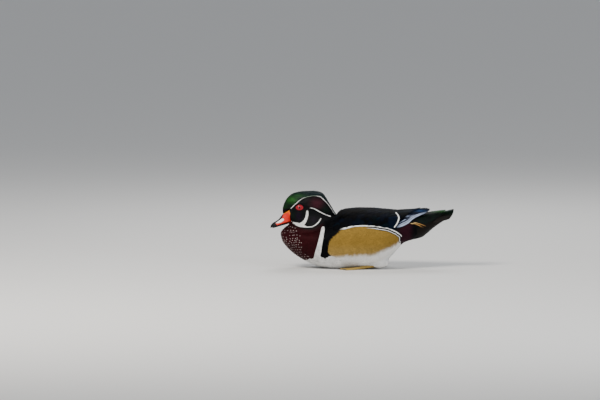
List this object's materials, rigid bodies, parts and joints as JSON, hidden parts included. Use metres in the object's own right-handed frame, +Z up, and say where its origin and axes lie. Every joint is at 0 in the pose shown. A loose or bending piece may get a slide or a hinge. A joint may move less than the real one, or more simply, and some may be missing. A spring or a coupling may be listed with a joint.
{
  "type": "wood duck model",
  "caption": "Life-size model of a drake wood duck at rest on its belly, head drawn in, crest full, wings folded, tail raised.",
  "frame": {"origin": "on the floor, at the middle of the flat under the belly", "axes": "-Y towards the bill, +X towards the bird's left side, +Z up"},
  "size_m": [0.145, 0.3715, 0.1569],
  "materials": {
    "bill": "satin red horn with white, yellow and black marks",
    "bill_dark": "satin black horn",
    "head": "short glossy green-black feathers with white bands",
    "crest": "glossy green, blue and maroon feathers with white lines",
    "eye": "polished deep red with a dark pupil",
    "eyelid": "bare orange-red lid",
    "breast": "maroon feathers with white flecks",
    "belly": "white feathers, with a white and a black bar in front",
    "back": "black feathers with blue and bronze gloss",
    "flank": "golden buff feathers, finely barred, edged white and black",
    "plumes": "maroon patch with orange-buff plumes",
    "tail": "black feathers with green gloss",
    "foot": "dull yellow scaled skin with darker webs"
  },
  "bodies": {
    "root": {"bill_upper": "bill", "bill_lower": "bill_dark", "head": "head", "crest": "crest", "eye_left": "eye", "eye_right": "eye", "eyelid_left": "eyelid", "eyelid_right": "eyelid", "neck": "breast", "breast": "breast", "torso": "belly", "mantle": "back", "flank_left": "flank", "flank_right": "flank", "wing_left": "back", "wing_right": "back", "side_plumes_left": "plumes", "side_plumes_right": "plumes", "tail": "tail", "leg_left": "belly", "leg_right": "belly", "foot_left": "foot", "foot_right": "foot"}
  },
  "joints": []
}
